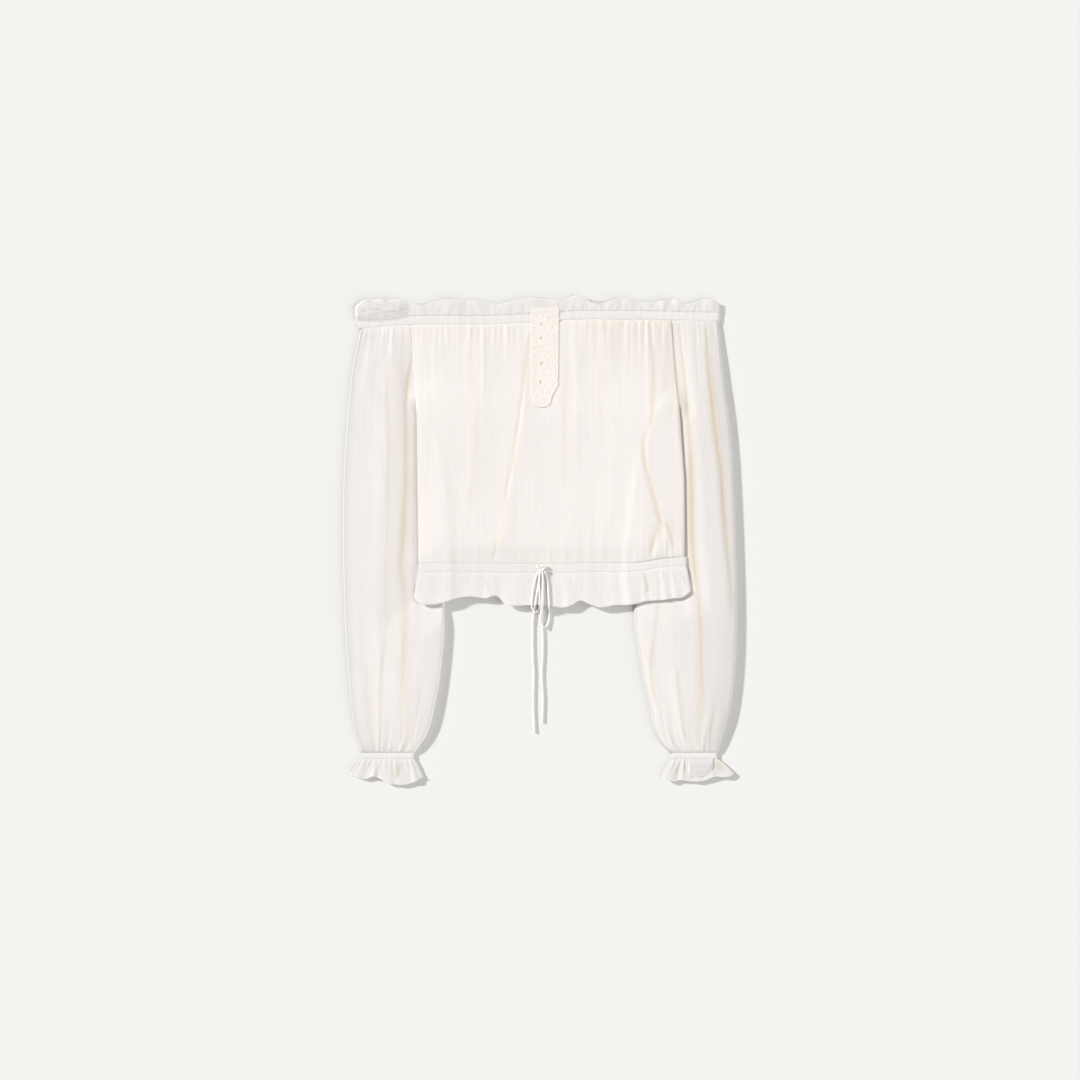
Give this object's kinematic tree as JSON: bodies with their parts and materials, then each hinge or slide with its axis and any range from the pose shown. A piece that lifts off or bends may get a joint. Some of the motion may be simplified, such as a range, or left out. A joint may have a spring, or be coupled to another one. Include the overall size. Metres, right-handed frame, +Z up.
{
  "type": "off-shoulder top",
  "caption": "Cropped off-shoulder top laid flat, with full gathered sleeves, frilled neck, cuffs and hem, a lace placket and a tied hem cord.",
  "frame": {"origin": "centre of the garment's footprint, on the surface that it lies on", "axes": "+Y from the hem toward the neckline, +Z up out of the front, +X toward the picture's right"},
  "size_m": [0.4883, 0.6057, 0.0126],
  "materials": {
    "body_chiffon": "crinkled matt",
    "sleeve_chiffon": "crinkled matt",
    "frill_chiffon": "crinkled matt",
    "casing_cloth": "ruched matt",
    "lace": "cotton lace",
    "tie_cord": "spun cord"
  },
  "bodies": {
    "root": {"front": "body_chiffon", "back": "body_chiffon", "sleeve_left": "sleeve_chiffon", "sleeve_right": "sleeve_chiffon", "neck_casing": "casing_cloth", "neck_frill": "frill_chiffon", "hem_casing": "casing_cloth", "hem_frill": "frill_chiffon", "cuff_casing_left": "casing_cloth", "cuff_casing_right": "casing_cloth", "cuff_frill_left": "frill_chiffon", "cuff_frill_right": "frill_chiffon", "lace_placket": "lace", "tie_knot": "tie_cord", "tie_tail_left": "tie_cord", "tie_tail_right": "tie_cord", "tie_loop_short": "tie_cord", "tie_loop_long": "tie_cord"}
  },
  "joints": []
}
